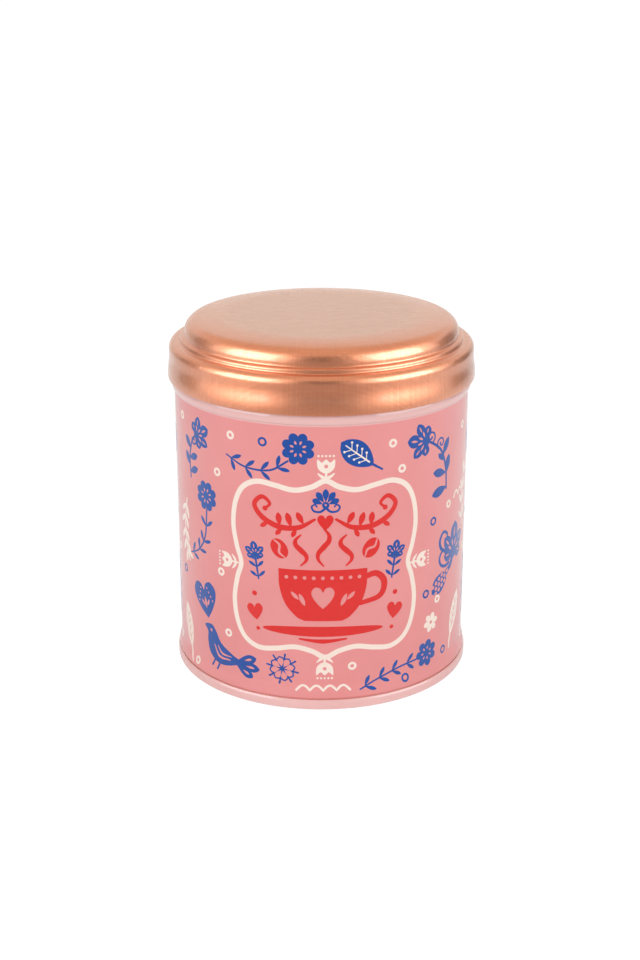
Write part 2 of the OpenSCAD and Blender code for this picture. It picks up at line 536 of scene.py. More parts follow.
def blossom(size=5.5):
    m = motif([petal(1.1 * size, 0.62 * size, 1.3)])
    for turn, long in ((-52, 1.0), (52, 1.0), (-96, 0.72), (96, 0.72)):
        m["add"].append(moved(petal(long * size, 0.5 * size, 1.1), turn=turn))
        slit = turned_arrow((1, 0), turn) * 0.5 * long * size
        m["cut"].append(moved(petal(0.34 * long * size, 0.09 * size), slit, turn))
    m["cut"].append(moved(petal(0.4 * size, 0.12 * size), (0.5 * size, 0)))
    m["add"].append(oval(0.05 * size, 0, 0.3 * size))
    for turn in (-60, -20, 20, 60):
        m["cut"].append(moved(petal(0.32 * size, 0.11 * size), turned_arrow((1, 0), turn) * 0.2 * size, turn))
    return m


def heart(size=6.0):
    half = [(0, 0.42), (0.22, 0.78), (0.62, 0.86), (0.92, 0.5), (0.84, 0.02), (0.45, -0.55), (0, -1)]
    right = curve(half, steps=5)
    left = right[::-1][1:-1] * [-1, 1]
    return np.vstack([right, left]) * size


def patterned_heart(size=6.4):
    m = motif([heart(size)])
    for k in range(4):
        x, y = (0.28 + 0.1 * k) * size, (0.56 - 0.22 * k) * size
        m["cut"].append(oval(x, y, 0.06 * size, steps=12))
        m["cut"].append(oval(-x, y, 0.06 * size, steps=12))
    m["cut"].append(moved(petal(0.62 * size, 0.2 * size), (0, -0.5 * size), 90))
    for side in (-1, 1):
        foot = (0.1 * side * size, -0.36 * size)
        m["cut"].append(moved(petal(0.42 * size, 0.15 * size), foot, 90 - 34 * side))
    return m


def bird():
    back_line = [(-9.4, 4.6), (-6.6, 6.2), (-4.4, 5.2), (-1.5, 2.6), (3.2, 1.3), (6.8, 0.4)]
    breast = [(3.6, -2.4), (-0.8, -4.2), (-5, -3), (-7, 0.4), (-7.6, 3.2)]
    m = motif([curve(back_line + breast, closed=True, steps=5)])
    tail = np.array((4.4, -0.5))
    for turn, long in ((34, 8.2), (10, 8.8), (-14, 7.4)):
        slit = tail + 0.45 * long * turned_arrow((1, 0), turn)
        m["add"].append(moved(petal(long, 2.9, 1.5), tail, turn))
        m["cut"].append(moved(petal(0.36 * long, 0.8, 1.2), slit, turn))
    m["cut"].append(oval(-6.3, 4.3, 0.5, steps=12))
    m["cut"].append(stroke([(-3.9, 0.6), (-1.2, -1.9), (2.9, -0.9)], [0.5, 0.9, 0.4]))
    m["cut"].append(stroke([(-2.5, 1.1), (-0.3, -0.4), (3.1, 0.3)], [0.4, 0.8, 0.3]))
    m["add"].append(stroke([(-2.6, -3.6), (-3.3, -6.2)], 0.6, False))
    m["add"].append(stroke([(-0.6, -3.9), (-1.0, -6.2)], 0.6, False))
    return m


def butterfly():
    m = motif([stroke([(0, -4.6), (0, 0), (0, 4.2)], [0.7, 1.5, 0.9])])
    for side in (-1, 1):
        m["add"].append(moved(petal(8.4, 5.4, 1.6), (0.2 * side, 0.6), 90 - 52 * side))
        m["add"].append(moved(petal(6.4, 4.0, 1.5), (0.2 * side, -0.6), -90 + 50 * side))
        m["cut"].append(moved(petal(4.2, 2.6, 1.6), (2.6 * side, 2.5), 90 - 52 * side))
        m["cut"].append(moved(petal(3.0, 1.7, 1.5), (2.0 * side, -2.0), -90 + 50 * side))
        m["add"].append(stroke([(0.1 * side, 4.0), (1.1 * side, 6.2), (2.6 * side, 6.8)], [0.4, 0.5]))
        m["add"].append(oval(2.7 * side, 6.8, 0.5, steps=12))
        m["add"].append(oval(4.9 * side, 4.1, 0.6, steps=12))
    return m


def tulip():
    points_up = [(-3.1, 7.6), (-1.5, 6.4), (0, 7.6), (1.5, 6.4), (3.1, 7.6)]
    belly = [(3.0, 4.6), (1.6, 2.9), (0, 2.4), (-1.6, 2.9), (-3.0, 4.6)]
    flower = curve(points_up + belly, closed=True, steps=4)
    m = motif([flower, stroke([(0, -0.4), (0, 2.8)], 0.8, False)], [oval(0, 5.0, 0.75, steps=14)])
    for side in (-1, 1):
        m["add"].append(stroke([(0, 0.4), (1.5 * side, 1.1), (2.9 * side, 2.3)], [0.7, 1.1, 0.4]))
    for k in range(5):
        m["add"].append(oval(1.35 * (k - 2), 8.9, 0.4, steps=12))
    return m


print("the bird has", len(bird()["add"]), "outlines")

# %% [markdown]
# ## The front panel
# The middle of a printed tin usually carries a label. This one is a scalloped cream frame
# with a steaming cup, beans and hearts: it says coffee without a word.


# %% Motifs: the scalloped frame, cup, beans and steam
def scalloped_frame(line=1.8):
    quarter = [(0, 31.9), (4.6, 29.7), (10.5, 28.4), (17, 29.6), (23.4, 30.2)]
    quarter += [(28.8, 27.4), (31.9, 21.5), (32.9, 13.5), (31.6, 5.8)]
    right = quarter + [(29.9, 0)] + [(x, -y) for x, y in quarter[::-1]]
    left = [(-x, y) for x, y in right[::-1]][1:-1]
    path = curve(right + left, closed=True, steps=6)
    side = sideways(path, True) * line / 2
    return motif([path + side], [path - side])


def bean(length=8.0):
    half = [(0.14 * length, -0.1 * length), (0.46 * length, -0.02 * length)]
    crease = [(-x, -y) for x, y in half[::-1]] + half
    return motif([oval(0, 0, length / 2, 0.36 * length)], [stroke(crease, [0.5, 0.9, 0.9, 0.5])])


def cup():
    right = curve([(12.2, 15.2), (12.0, 10), (10.4, 5), (7.4, 1.4), (5.2, 0.2)], steps=5)
    bowl = np.vstack([right, right[::-1] * [-1, 1]])
    saucer = oval(0, -3.0, 17.0, 1.5, 48)
    shadow = stroke([(-6.4, -5.3), (0, -5.9), (6.4, -5.3)], [0.5, 1.3, 0.5])
    loop = [(11.3, 12.6), (14.8, 13.3), (17.2, 10.6), (16.0, 6.6), (10.4, 5.0)]
    m = motif([bowl, saucer, shadow, stroke(loop, [1.6, 1.7, 1.9, 1.6, 1.3])])
    m["cut"].append(heart(3.4) + [0, 7.2])
    for k in range(9):
        m["cut"].append(oval(2.5 * (k - 4), 12.9, 0.55, steps=12))
    for side in (-1, 1):
        m["cut"].append(moved(petal(4.0, 1.3), (4.9 * side, 4.6), 90 - 24 * side))
        m["cut"].append(moved(petal(3.2, 1.1), (6.6 * side, 6.4), 90 - 44 * side))
    return m


def steam(height=15.0, sway=2.2):
    t = np.linspace(0, 1, 7)
    points = np.stack([sway * np.sin(2 * np.pi * t), height * t], 1)
    return motif([stroke(points, [0.5, 1.3, 1.9, 1.5, 0.5])])


def garland():
    path = [(3.6, 1.4), (9.0, -1.6), (15.6, -1.8), (21.6, 1.0)]
    path += [(24.4, 5.2), (21.6, 8.2), (18.8, 6.2), (20.4, 4.2)]
    vine = stroke(path, [0.9, 1.7, 2.0, 1.9, 1.7, 1.5, 1.1, 0.8])
    m = motif([vine, oval(20.5, 4.2, 0.9, steps=14)])
    for spot, turn, long in (((7.2, -0.6), 62, 5.0), ((11.4, -1.9), 74, 5.6), ((15.4, -1.7), 84, 5.0)):
        m["add"].append(moved(petal(long, 2.1, 1.0), spot, turn))
    for spot, turn in (((9.6, -1.8), -64), ((14.4, -1.9), -50), ((19.2, -0.4), -34)):
        m["add"].append(moved(petal(3.8, 1.6, 1.0), spot, turn))
    return m


print("the frame is drawn from", len(scalloped_frame()["add"][0]), "points")

# %% [markdown]
# ## From drawing to ink
# A constrained Delaunay triangulation turns outlines into triangles that never cross a line.
# Triangles in the `cut` outlines are dropped. The rest become a film of ink about 0.04 mm thick,
# wrapped onto the wall, with its edge sloping down into the enamel. Real geometry keeps
# the edges of the print crisp at any distance, which a painted texture would not.


# %% Triangulating a motif
def even(outline, longest=1.3):
    points = []
    for a, b in zip(outline, np.roll(outline, -1, 0)):
        gap = np.linalg.norm(b - a)
        if gap < 1e-4:
            continue
        n = max(1, math.ceil(gap / longest))
        points += [a + (b - a) * k / n for k in range(n)]
    return np.array(points)


def holds(outline, points):
    x, y = points[:, :1], points[:, 1:]
    x0, y0 = outline[:, 0], outline[:, 1]
    x1, y1 = np.roll(x0, -1), np.roll(y0, -1)
    left = (x1 - x0) * (y - y0) - (x - x0) * (y1 - y0)
    up = (y0 <= y) & (y1 > y) & (left > 0)
    down = (y0 > y) & (y1 <= y) & (left < 0)
    return up.sum(1) != down.sum(1)


def triangles(add, cut):
    add, cut = [even(s) for s in add], [even(s) for s in cut]
    verts, edges = [], []
    for outline in add + cut:
        first = len(verts)
        n = len(outline)
        verts += [Vector(p) for p in outline]
        edges += [(first + k, first + (k + 1) % n) for k in range(n)]
    low = np.min([s.min(0) for s in add], 0)
    high = np.max([s.max(0) for s in add], 0)
    rise = 0.6 if low[1] < flare_top else 1.8
    xs = np.arange(low[0] + 0.7, high[0], 1.8)
    ys = np.arange(low[1] + 0.4, high[1], rise)
    inner = np.array([(x, y) for x in xs for y in ys])
    if len(inner):
        kept = np.any([holds(s, inner) for s in add], 0)
        verts += [Vector(p) for p in inner[kept]]
    points, _, faces = delaunay_2d_cdt(verts, edges, [], 0, 1e-5)[:3]
    points = np.array([tuple(p) for p in points])
    faces = np.array(faces)
    middle = points[faces].mean(1)
    inked = np.any([holds(s, middle) for s in add], 0)
    for s in cut:
        inked &= ~holds(s, middle)
    a, b, c = points[faces[:, 0]], points[faces[:, 1]], points[faces[:, 2]]
    area = (b[:, 0] - a[:, 0]) * (c[:, 1] - a[:, 1]) - (b[:, 1] - a[:, 1]) * (c[:, 0] - a[:, 0])
    faces = faces[inked & (np.abs(area) > 1e-7)]
    used, faces = np.unique(faces, return_inverse=True)
    return points[used], faces.reshape(-1, 3)


patches = {"blue": [], "cream": [], "red": []}


def ink(colour, shape, at, turn=0, size=1.0, flip=False):
    parts = {key: [moved(s, at, turn, size, flip) for s in shape[key]] for key in shape}
    patches[colour].append(triangles(parts["add"], parts["cut"]))
    if parts["fill"]:
        patches["cream"].append(triangles(parts["fill"], []))


print("a ring becomes", len(triangles([oval(0, 0, 1.5)], [oval(0, 0, 0.7)])[1]), "triangles")


# %% Wrapping the ink onto the wall
def wall_at(height):
    t = np.clip((flare_top - height) / (flare_top - crease_top), 0, 1)
    radius = wall_r + (foot_r - wall_r) * (3 - 2 * t) * t * t
    lean = (foot_r - wall_r) * (6 * t - 6 * t * t) / (flare_top - crease_top)
    return radius, lean


def wrapped(points, lift):
    radius, lean = wall_at(points[:, 1])
    turn = points[:, 0] / wall_r
    out = np.stack([np.sin(turn), -np.cos(turn), lean], 1)
    out /= np.linalg.norm(out, axis=1)[:, None]
    base = np.stack([radius * np.sin(turn), -radius * np.cos(turn), points[:, 1]], 1)
    return (base + out * np.reshape(lift, (-1, 1))) * MM, out


def ink_film(name, colour, film=0.04, foot=-0.02, spread=0.04):
    verts, faces, normals, levels = [], [], [], []
    for index, (points, tris) in enumerate(patches[colour]):
        first, n = len(verts), len(points)
        edges = np.vstack([tris[:, [0, 1]], tris[:, [1, 2]], tris[:, [2, 0]]])
        known = {tuple(e) for e in edges}
        rim = [e for e in known if (e[1], e[0]) not in known]
        push = np.zeros_like(points)
        for a, b in rim:
            run = points[b] - points[a]
            out = np.array([run[1], -run[0]]) / max(np.linalg.norm(run), 1e-6)
            push[a] += out
            push[b] += out
        length = np.linalg.norm(push, axis=1)
        push[length > 0] /= length[length > 0][:, None]
        top, up = wrapped(points, film + 0.004 * (index % 4))
        low, _ = wrapped(points + spread * push, foot)
        verts += list(top) + list(low)
        normals += list(up) * 2
        levels += [index % 7] * (2 * n)
        faces += [tuple(first + t) for t in tris]
        faces += [tuple(first + n + t[::-1]) for t in tris]
        faces += [(first + b, first + a, first + n + a, first + n + b) for a, b in rim]
    if signed_volume(verts, faces) < 0:
        faces = [f[::-1] for f in faces]
    piece = show(name, verts, faces, sharp=None)
    mesh = piece.data
    up = np.array(normals)
    corner = np.zeros(len(mesh.loops), int)
    mesh.loops.foreach_get("vertex_index", corner)
    face_normals = np.array([tuple(p.normal) for p in mesh.polygons])
    facing = np.repeat(face_normals, [p.loop_total for p in mesh.polygons], 0)
    top_side = np.sum(facing * up[corner], 1) > 0.9
    mesh.normals_split_custom_set(np.where(top_side[:, None], up[corner], facing).tolist())
    store(mesh, "print_run", "FLOAT", levels)
    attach(piece, "tin")
    print(f"{name}: {len(patches[colour])} patches, {len(faces)} faces")
    return piece


print("the foot flares by", round(wall_at(crease_top)[0] - wall_r, 2), "mm")

# %% [markdown]
# ## Laying out the print
# The big motifs sit round the frame and small rings fill the gaps, so that the pink never
# shows a bare area larger than a thumbnail. The sides and the back repeat the same kinds of
# motif, and a narrow margin stays clear at the side seam.

# %% The front of the print
panel = (1.3, 51.3)
ink("cream", scalloped_frame(), panel)
for at, turn in (((1.5, 83.6), 0), ((1.1, 19.6), 180), ((-30.4, 50.8), 90), ((33.0, 50.2), -90)):
    ink("cream", tulip(), at, turn, 0.86 if turn in (90, -90) else 0.92)

ink("blue", branch([(-34.0, 88.9), (-26.5, 85.9), (-17.5, 85.9), (-11.2, 89.6)], 4, 4.6, 44), (0, 0))
ink("blue", daisy(5.5), (-7.7, 94.0))
ink("blue", veined_leaf(), (6.4, 96.4), -38)
right_sprig = branch([(50.3, 72.6), (49.6, 80), (46.6, 87.2), (40.6, 91.6), (37, 92.6)], 0, line=0.9)
with_part(right_sprig, blossom(7.4), (38.2, 92.6), 172)
with_part(right_sprig, curl(2.3), (44.6, 88.6), 40)
with_part(right_sprig, curl(2.3), (41.6, 91.2), -70, flip=True)
sprig_leaves = [((49.6, 78.6), 168, 7.4), ((50.2, 73.4), 190, 8.4), ((49.7, 78.0), 74, 7.0)]
sprig_leaves += [((47.6, 85.4), 58, 6.6), ((48.4, 83.4), 140, 4.6)]
for spot, turn, long in sprig_leaves:
    with_part(right_sprig, motif([petal(long, 0.42 * long, 0.8)]), spot, turn)
ink("blue", right_sprig, (0, 0))
left_sprig = branch([(-54.2, 75.6), (-54.6, 83), (-52.4, 89.6), (-48.4, 92.6)], 0, line=0.8)
with_part(left_sprig, blossom(6.8), (-49.4, 92.0), 28)
with_part(left_sprig, curl(2.0), (-50.6, 91.4), -120)
for spot, turn in (((-54.4, 77.6), 24), ((-54.6, 82.6), 20), ((-54.5, 79.8), 124), ((-53.8, 86.0), 132)):
    with_part(left_sprig, motif([petal(5.6, 2.6, 0.8)]), spot, turn)
ink("blue", left_sprig, (0, 0))
ink("blue", daisy(5.3), (-44.6, 71.4))
ink("blue", branch([(-55.6, 47.2), (-49.6, 50.4), (-45.6, 56.6), (-44.4, 66.6)], 4, 4.4, 46), (0, 0))
ink("blue", patterned_heart(7.0), (-46.6, 32.6), 14)
ink("blue", bird(), (-37.4, 14.8), -14, 1.2)
ink("blue", line_daisy(), (-13.6, 14.2), 12)
ink("blue", branch([(13.4, 6.6), (20.4, 9.6), (28.4, 12.0), (36.6, 12.9)], 4, 4.4, 44), (0, 0))
ink("blue", daisy(5.0, 7), (41.0, 13.6))
plume = with_part(motif(), blossom(10.0), (57.4, 47.0), 84)
for x, y, size in ((55.2, 49.4, 1.0), (53.6, 43.8, 0.8)):
    tendril = [(0, 0), (-3.4, -0.4), (-6.8, 1.2), (-8.0, 4.4), (-6.0, 7.2), (-3.2, 6.0), (-3.6, 3.8)]
    with_part(plume, motif([stroke(tendril, [1.6, 1.4, 1.3, 1.2, 1.1, 1.0, 0.7])]), (x, y), 0, size)
with_part(plume, motif([stroke([(57.4, 48.0), (55.4, 43.0), (53.4, 41.6)], 1.8)]))
with_part(plume, scaled_leaf(), (55.0, 42.6), 212)
ink("blue", plume, (0, 0))
for at, flip in (((-22.8, 46.6), False), ((25.6, 46.6), True)):
    sprig = branch([(0.8, 0), (0.2, 4.0), (-0.3, 7.4)], 3, 3.1, 52, 0.6, blossom(3.8))
    ink("blue", sprig, at, 0, 1.16, flip)
crest = motif([oval(0, 0.6, 1.1)], [oval(0, 0.7, 0.35, steps=12)])
for turn, long in ((90, 4.4), (57, 4.2), (123, 4.2), (24, 3.6), (156, 3.6)):
    with_part(crest, motif([petal(long, 1.9, 1.3)]), turned_arrow((1, 0), turn) * 0.9 + [0, 0.6], turn)
for side in (-1, 1):
    scroll = [(0, -0.2), (1.6, -1.5), (3.6, -1.3), (4.3, 0.1), (3.3, 0.8), (2.7, 0.1)]
    scroll = [(side * x, y) for x, y in scroll]
    crest["add"].append(stroke(scroll, [0.8, 0.7, 0.6, 0.55, 0.5, 0.45]))
ink("blue", crest, (1.4, 74.0), 0, 1.08)
print("patches so far:", {colour: len(made) for colour, made in patches.items()})

# %% [markdown]
# ## The red picture in the panel
# One strong red picture holds the eye in the middle. Its parts stay well apart, because
# a printer's register is never perfect and close lines of two inks would touch.

# %% The cup, its steam, beans and hearts
middle = panel[0]
ink("red", cup(), (middle - 0.8, 32.6), 0, 1.24)
for shift, tall, flip in ((-7.6, 11.0, False), (0.0, 13.5, True), (7.6, 11.0, False)):
    ink("red", steam(tall, 2.0), (middle - 0.6 + shift, 53.0), flip=flip)
for side in (-1, 1):
    ink("red", garland(), (middle, 68.2), 0, 1.0, side < 0)
    ink("red", bean(7.6), (middle + 15.6 * side, 58.6), 56 * side)
    ink("red", motif([heart(3.2)]), (middle + 24.6 * side, 34.4), -10 * side)
    ink("red", motif([oval(0, 0, 0.9)]), (middle + 24.8 * side, 41.0))
    ink("red", motif([oval(0, 0, 0.7)]), (middle + 23.6 * side, 28.2))
ink("red", motif([heart(2.9)]), (middle, 68.6))
print("red patches:", len(patches["red"]))

# %% The small cream motifs and rings of the front
cream_rings = ((-32.2, 95.9), (-38.5, 81.6), (24.4, 94.4), (28.1, 85.0), (52.4, 66.2), (-37.6, 45.6))
cream_rings += ((-34.7, 23.4), (46.4, 32.6), (10.6, 15.6), (-51.9, 6.9), (-60.6, 96.2), (63.4, 92.0))
for at in cream_rings:
    ink("cream", ring(), at)
for at in ((-19.9, 95.5), (43.0, 62.6), (40.0, 36.4), (30.8, 7.4), (51.0, 11.4), (-61.6, 39.0)):
    ink("blue", ring(1.6, 0.7), at)
ink("cream", branch([(-58.4, 66.4), (-60.6, 58), (-60.2, 50), (-57.2, 43.6)], 5, 5.6, 36, 0.8), (0, 0))
ink("cream", cream_leaf(), (-57.4, 9.4), 104)
ink("cream", cream_leaf(), (56.4, 14.6), 68)
ink("cream", branch([(66.4, 54.4), (65.4, 62), (66.4, 70), (69.4, 76.4)], 4, 5.4, 36, 0.8), (0, 0))
small_flower = motif([oval(0, 0, 1.6)], [oval(0, 0, 0.7, steps=14)])
for k in range(6):
    small_flower["add"].append(moved(petal(3.7, 2.2, 1.3), turn=60 * k + 10))
ink("cream", small_flower, (43.0, 24.8))
squiggle = [(x, 1.9 * abs(math.sin(math.pi * x / 4.0))) for x in np.linspace(-4, 4, 21)]
ink("cream", motif([stroke(squiggle, 0.8, False)]), (60.4, 67.4))
scallops = [(x, 1.7 * abs(math.sin(math.pi * x / 4.6))) for x in np.linspace(-9.2, 9.2, 41)]
ink("cream", motif([stroke(scallops, 0.75, False)]), (0.6, 6.9))
print("cream patches so far:", len(patches["cream"]))

# %% [markdown]
# ## The sides and the back
# A short table places the rest. Every row is a motif, how far round it sits, its height,
# its turn and its size. It is used twice, the second time mirrored, which is how a
# printed wrap is often planned.

# %% The rest of the wrap
daisy_branch = branch([(0, -12), (1.8, -6), (1.2, 0), (-0.8, 5.6)], 4, 4.4, 44, head=daisy(5.2))
blossom_branch = branch([(0, -12), (-1.6, -5), (-0.6, 2), (2.6, 7)], 4, 4.6, 46, 0.8, blossom(5.8))
long_branch = branch([(-12, -2), (-5, 1.4), (3, 1.6), (11, -1.2)], 5, 4.6)
leafy_curve = branch([(0, -8), (1.4, -2), (0.8, 4), (-1, 9)], 4, 5.0, 36, 0.8)
rest_of_wrap = [
    ("blue", daisy_branch, 79, 78, 12, 1.0),
    ("blue", patterned_heart(6.4), 96, 84, -14, 1.0),
    ("blue", blossom_branch, 114, 76, -16, 1.0),
    ("blue", long_branch, 138, 90.5, 5, 0.9),
    ("blue", butterfly(), 134, 70, 18, 1.0),
    ("blue", bird(), 86, 52, 8, 0.96),
    ("blue", line_daisy(), 108, 51, 0, 1.0),
    ("blue", veined_leaf(), 124, 55, -50, 0.9),
    ("blue", daisy_branch, 149, 44, -10, 1.0),
    ("blue", blossom_branch, 76, 27, 8, 1.0),
    ("blue", long_branch, 101, 31, -12, 1.0),
    ("blue", patterned_heart(5.6), 128, 33, 12, 1.0),
    ("blue", daisy(5.0), 97, 13, 0, 1.0),
    ("blue", long_branch, 122, 12.4, 4, 1.0),
    ("blue", bird(), 148, 17, -12, 0.85),
    ("blue", daisy(4.4, 7), 153, 91, 0, 1.0),
    ("cream", tulip(), 98, 60.5, 10, 0.9),
    ("cream", small_flower, 118, 94, 0, 1.0),
    ("cream", small_flower, 113, 20, 30, 1.0),
    ("cream", tulip(), 141, 62, -170, 0.85),
    ("cream", small_flower, 151, 70, 12, 0.9),
    ("cream", long_branch, 90, 41, 176, 0.62),
    ("cream", leafy_curve, 100, 74.2, 74, 0.62),
]
ring_spots = ((74, 94), (88, 95), (102, 95), (122, 80), (124, 66), (98, 44), (69, 45))
ring_spots += ((90, 65), (115, 40), (139, 27), (86, 7.6), (108, 8.2), (138, 6.8), (144, 80))
ring_spots += ((157, 58), (158, 30), (87, 22), (71, 9.4), (141, 40))
for flip in (False, True):
    way = -1 if flip else 1
    for colour, shape, x, y, turn, size in rest_of_wrap:
        ink(colour, shape, (way * x, y), way * turn, size, flip)
    for index, (x, y) in enumerate(ring_spots):
        ink("blue" if index % 3 == 1 else "cream", ring(1.5, 0.75), (way * x, y))
blue_ink = ink_film("blue_ink", "blue")
cream_ink = ink_film("cream_ink", "cream")
red_ink = ink_film("red_ink", "red")

# %% [markdown]
# ## Shared effects for the finishes
# Several finishes need the same small irregularities, so each is a node group used in many
# materials: `ripple` is the slow unevenness of a baked coating, `specks` are the dust grains
# caught in it, and `brushing` is the fine parallel grain left by a rotating wire brush.


# %% Node helpers and groups
def add_node(tree, kind, at=(0, 0), **values):
    node = tree.nodes.new(kind)
    node.location = at
    for key, value in values.items():
        setattr(node, key, value)
    return node


def group(name, inputs, outputs):
    tree = bpy.data.node_groups.new(name, "ShaderNodeTree")
    for label, kind, default in inputs:
        socket = tree.interface.new_socket(label, in_out="INPUT", socket_type=kind)
        if default is not None:
            socket.default_value = default
    for label, kind in outputs:
        tree.interface.new_socket(label, in_out="OUTPUT", socket_type=kind)
    start = add_node(tree, "NodeGroupInput", (-900, 0))
    end = add_node(tree, "NodeGroupOutput", (700, 0))
    return tree, start, end


def use(tree, shared, at=(0, 0), **values):
    node = add_node(tree, "ShaderNodeGroup", at, node_tree=shared)
    for label, value in values.items():
        node.inputs[label.replace("_", " ")].default_value = value
    return node


def remap(tree, source, low, high, to_low=0.0, to_high=1.0, at=(0, 0)):
    node = add_node(tree, "ShaderNodeMapRange", at)
    node.inputs["From Min"].default_value = low
    node.inputs["From Max"].default_value = high
    node.inputs["To Min"].default_value = to_low
    node.inputs["To Max"].default_value = to_high
    tree.links.new(source, node.inputs["Value"])
    return node.outputs["Result"]


def math_node(tree, operation, a, b, at=(0, 0)):
    node = add_node(tree, "ShaderNodeMath", at, operation=operation)
    for socket, value in zip(node.inputs, (a, b)):
        if isinstance(value, (int, float)):
            socket.default_value = value
        else:
            tree.links.new(value, socket)
    return node.outputs[0]


def mix_colour(tree, factor, a, b, at=(0, 0), blend="MIX"):
    node = add_node(tree, "ShaderNodeMix", at, data_type="RGBA", blend_type=blend)
    for socket, value in ((node.inputs[0], factor), (node.inputs[6], a), (node.inputs[7], b)):
        if isinstance(value, (int, float, tuple)):
            socket.default_value = value
        else:
            tree.links.new(value, socket)
    return node.outputs[2]


ripple, start, end = group(
    "ripple",
    [("Vector", "NodeSocketVector", None), ("Size", "NodeSocketFloat", 600.0)],
    [("Tone", "NodeSocketFloat"), ("Height", "NodeSocketFloat")],
)
slow = add_node(ripple, "ShaderNodeTexNoise", (-500, 120))
slow.inputs["Scale"].default_value = 38
slow.inputs["Detail"].default_value = 2
fine = add_node(ripple, "ShaderNodeTexNoise", (-500, -160))
fine.inputs["Detail"].default_value = 1.5
ripple.links.new(start.outputs["Vector"], slow.inputs["Vector"])
ripple.links.new(start.outputs["Vector"], fine.inputs["Vector"])
ripple.links.new(start.outputs["Size"], fine.inputs["Scale"])
ripple.links.new(remap(ripple, slow.outputs["Fac"], 0.3, 0.7), end.inputs["Tone"])
ripple.links.new(fine.outputs["Fac"], end.inputs["Height"])

specks, start, end = group(
    "specks",
    [("Vector", "NodeSocketVector", None), ("Amount", "NodeSocketFloat", 0.05)],
    [("Mask", "NodeSocketFloat")],
)
grains = add_node(specks, "ShaderNodeTexVoronoi", (-600, 0))
grains.inputs["Scale"].default_value = 420
grains.inputs["Randomness"].default_value = 1
specks.links.new(start.outputs["Vector"], grains.inputs["Vector"])
near = remap(specks, grains.outputs["Distance"], 0.16, 0.05, at=(-300, 120))
chosen = add_node(specks, "ShaderNodeSeparateColor", (-300, -120))
specks.links.new(grains.outputs["Color"], chosen.inputs[0])
rare = math_node(specks, "LESS_THAN", chosen.outputs[0], 0.05, (0, -120))
specks.links.new(start.outputs["Amount"], rare.node.inputs[1])
specks.links.new(math_node(specks, "MULTIPLY", near, rare, (250, 0)), end.inputs["Mask"])

stretches = [("Across", "NodeSocketFloat", 9.0), ("Along", "NodeSocketFloat", 0.12)]
brushing, start, end = group(
    "brushing",
    [("Vector", "NodeSocketVector", None)] + stretches,
    [("Grain", "NodeSocketFloat"), ("Broad", "NodeSocketFloat")],
)
stretch = add_node(brushing, "ShaderNodeCombineXYZ", (-700, -100))
brushing.links.new(start.outputs["Along"], stretch.inputs[0])
brushing.links.new(start.outputs["Across"], stretch.inputs[1])
brushing.links.new(start.outputs["Across"], stretch.inputs[2])
pulled = add_node(brushing, "ShaderNodeVectorMath", (-500, 0), operation="MULTIPLY")
brushing.links.new(start.outputs["Vector"], pulled.inputs[0])
brushing.links.new(stretch.outputs[0], pulled.inputs[1])
lines = add_node(brushing, "ShaderNodeTexNoise", (-250, 120))
lines.inputs["Scale"].default_value = 1
lines.inputs["Detail"].default_value = 4
lines.inputs["Roughness"].default_value = 0.62
broad = add_node(brushing, "ShaderNodeTexNoise", (-250, -160))
broad.inputs["Scale"].default_value = 0.16
broad.inputs["Detail"].default_value = 2
for texture in (lines, broad):
    brushing.links.new(pulled.outputs[0], texture.inputs["Vector"])
brushing.links.new(remap(brushing, lines.outputs["Fac"], 0.3, 0.7), end.inputs["Grain"])
brushing.links.new(remap(brushing, broad.outputs["Fac"], 0.3, 0.7), end.inputs["Broad"])
print("shared groups:", [g.name for g in bpy.data.node_groups])

# %% [markdown]
# ## Enamel and lacquer
# Printed tin is stoved: the pink enamel and the inks are baked on under a clear varnish, so
# a smooth coat lies over a slightly softer colour. Inside, the steel has a thin gold lacquer
# that keeps the contents from the metal. The stored `outside` value tells the two apart.


# %% The enamel material
def material(name):
    made = bpy.data.materials.new(name)
    made.use_nodes = True
    shader = made.node_tree.nodes["Principled BSDF"]
    return made, made.node_tree, shader


def attribute(tree, name, at=(-1200, 0), output="Fac"):
    node = add_node(tree, "ShaderNodeAttribute", at, attribute_name=name)
    return node.outputs[output]


def place(tree, at=(-1400, 0)):
    return add_node(tree, "ShaderNodeTexCoord", at).outputs["Object"]


def bump(tree, shader, height, strength, distance):
    node = add_node(tree, "ShaderNodeBump", (-200, -500))
    node.inputs["Strength"].default_value = strength
    node.inputs["Distance"].default_value = distance
    tree.links.new(height, node.inputs["Height"])
    tree.links.new(node.outputs["Normal"], shader.inputs["Normal"])


enamel_pink = (0.80, 0.285, 0.275, 1)
enamel_deep = (0.765, 0.26, 0.25, 1)
# The base's pinks are paler than the wall's: the paleness is painted reflection on its rounded rim.
sheen_rim_pink = (0.84, 0.50, 0.47, 1)
sheen_rim_deep = (0.81, 0.46, 0.43, 1)
# A paler pink for the wall above its straight part: painted reflection on the rounded bead under the lid.
bead_sheen_pink = (0.80, 0.47, 0.44, 1)
lacquer_gold = (0.80, 0.66, 0.40, 1)
dust_grey = (0.62, 0.45, 0.43, 1)


